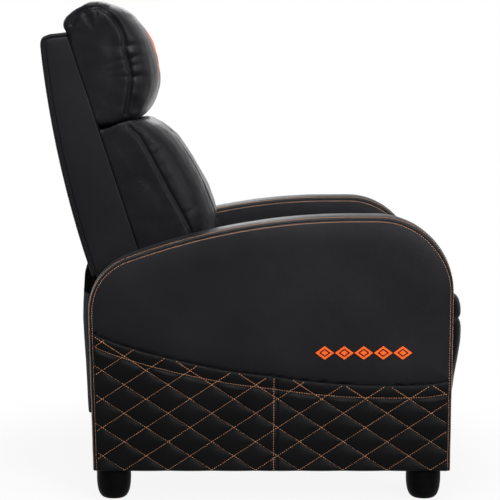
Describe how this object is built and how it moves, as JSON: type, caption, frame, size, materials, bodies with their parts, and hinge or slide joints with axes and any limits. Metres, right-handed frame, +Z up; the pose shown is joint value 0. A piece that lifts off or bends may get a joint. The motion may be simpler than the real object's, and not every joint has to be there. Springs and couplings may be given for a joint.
{
  "type": "push-back recliner sofa",
  "caption": "Padded gaming recliner in black leather with a sloping back, headrest pillow, rounded arms with a quilted lower panel, a folding footrest and short feet.",
  "frame": {"origin": "on the floor, in the middle of the sofa's width and of its depth over back and footrest cushion", "axes": "+Z up, -Y the way the sitter faces, +X towards the sitter's left"},
  "size_m": [0.7, 0.869, 1.009],
  "materials": {
    "black_leather": "semi-gloss grained black synthetic leather with orange topstitching",
    "black_lining": "matt black woven lining",
    "frame_wood": "raw sawn wood and plywood",
    "black_steel": "satin black paint",
    "zinc_bolt": "dull zinc",
    "black_foot_plastic": "matt black"
  },
  "bodies": {
    "base": {"arm_frame_left": "frame_wood", "arm_frame_right": "frame_wood", "arm_outer_panel_left": "black_leather", "arm_outer_panel_right": "black_leather", "arm_inner_panel_left": "black_leather", "arm_inner_panel_right": "black_leather", "arm_band_left": "black_leather", "arm_band_right": "black_leather", "arm_quilted_panel_left": "black_leather", "arm_quilted_panel_right": "black_leather", "foot_front_left": "black_foot_plastic", "foot_front_right": "black_foot_plastic", "foot_rear_left": "black_foot_plastic", "foot_rear_right": "black_foot_plastic", "base_rail_left": "black_steel", "base_rail_right": "black_steel", "front_cross_rail": "frame_wood", "rear_cross_rail": "frame_wood", "rear_cover": "black_lining"},
    "rear_swing": {"rear_swing_link_left": "black_steel", "rear_swing_link_right": "black_steel", "rear_swing_tube": "black_steel"},
    "front_swing": {"front_swing_link_left": "black_steel", "front_swing_link_right": "black_steel", "front_swing_tube": "black_steel"},
    "recline_links": {"recline_link_left": "black_steel", "recline_link_right": "black_steel"},
    "seat": {"seat_side_plate_left": "black_steel", "seat_side_plate_right": "black_steel", "back_pivot_bolt_left": "zinc_bolt", "back_pivot_bolt_right": "zinc_bolt", "seat_frame": "frame_wood", "seat_spring_1": "black_steel", "seat_spring_2": "black_steel", "seat_spring_3": "black_steel", "seat_cushion": "black_leather"},
    "footrest_drive": {"footrest_drive_link_left": "black_steel", "footrest_drive_link_right": "black_steel", "footrest_drive_tube": "black_steel"},
    "footrest_support": {"footrest_support_link_left": "black_steel", "footrest_support_link_right": "black_steel"},
    "footrest_reach": {"footrest_reach_link_left": "black_steel", "footrest_reach_link_right": "black_steel"},
    "footrest_guide": {"footrest_guide_link_left": "black_steel", "footrest_guide_link_right": "black_steel"},
    "footrest": {"footrest_bracket_left": "black_steel", "footrest_bracket_right": "black_steel", "footrest_board": "frame_wood", "footrest_cushion": "black_leather"},
    "back": {"back_side_panel_left": "black_leather", "back_side_panel_right": "black_leather", "back_bracket_left": "black_steel", "back_bracket_right": "black_steel", "back_frame": "frame_wood", "back_strap_1": "black_lining", "back_strap_2": "black_lining", "back_rear_panel": "black_leather", "back_skirt": "black_lining", "back_cushion": "black_leather", "headrest_cushion": "black_leather"}
  },
  "joints": [
    {"name": "back_recline", "type": "hinge", "parent": "seat", "child": "back", "pos_m": [0, 0.2375, 0.42], "axis": [-1, 0, 0], "range_deg": [0, 50]},
    {"name": "rear_swing_turn", "type": "hinge", "parent": "base", "child": "rear_swing", "pos_m": [0, 0.2405, 0.15], "axis": [-1, 0, 0], "range_deg": [-54, 0]},
    {"name": "seat_level", "type": "hinge", "parent": "rear_swing", "child": "seat", "pos_m": [0, 0.30008, 0.2408], "axis": [-1, 0, 0], "range_deg": [0, 54]},
    {"name": "front_swing_turn", "type": "hinge", "parent": "base", "child": "front_swing", "pos_m": [0, -0.0245, 0.15], "axis": [-1, 0, 0], "range_deg": [-54, 0]},
    {"name": "recline_link_turn", "type": "hinge", "parent": "base", "child": "recline_links", "pos_m": [0, 0.1507, 0.1038], "axis": [-1, 0, 0], "range_deg": [-26.6, 0]},
    {"name": "footrest_extend", "type": "hinge", "parent": "seat", "child": "footrest_drive", "pos_m": [0, -0.2504, 0.318], "axis": [-1, 0, 0], "range_deg": [0, 88]},
    {"name": "footrest_support_turn", "type": "hinge", "parent": "seat", "child": "footrest_support", "pos_m": [0, -0.2164, 0.2886], "axis": [-1, 0, 0], "range_deg": [0, 88.6]},
    {"name": "footrest_reach_turn", "type": "hinge", "parent": "footrest_drive", "child": "footrest_reach", "pos_m": [0, -0.1369, 0.18665], "axis": [-1, 0, 0], "range_deg": [-90.6, 0]},
    {"name": "footrest_guide_turn", "type": "hinge", "parent": "footrest_drive", "child": "footrest_guide", "pos_m": [0, -0.09767, 0.14125], "axis": [-1, 0, 0], "range_deg": [-90.6, 0]},
    {"name": "footrest_board_turn", "type": "hinge", "parent": "footrest_reach", "child": "footrest", "pos_m": [0, -0.32445, 0.35194], "axis": [-1, 0, 0], "range_deg": [0, 90.6]}
  ],
  "couplings": [
    {"joint": "rear_swing_turn", "follows": "back_recline", "ratio": -1.0732},
    {"joint": "seat_level", "follows": "back_recline", "ratio": 1.0732},
    {"joint": "front_swing_turn", "follows": "back_recline", "ratio": -1.0732},
    {"joint": "recline_link_turn", "follows": "back_recline", "ratio": -0.5272},
    {"joint": "footrest_support_turn", "follows": "footrest_extend", "ratio": 1.0046},
    {"joint": "footrest_reach_turn", "follows": "footrest_extend", "ratio": -1.0271},
    {"joint": "footrest_guide_turn", "follows": "footrest_extend", "ratio": -1.0271},
    {"joint": "footrest_board_turn", "follows": "footrest_extend", "ratio": 1.0271}
  ]
}
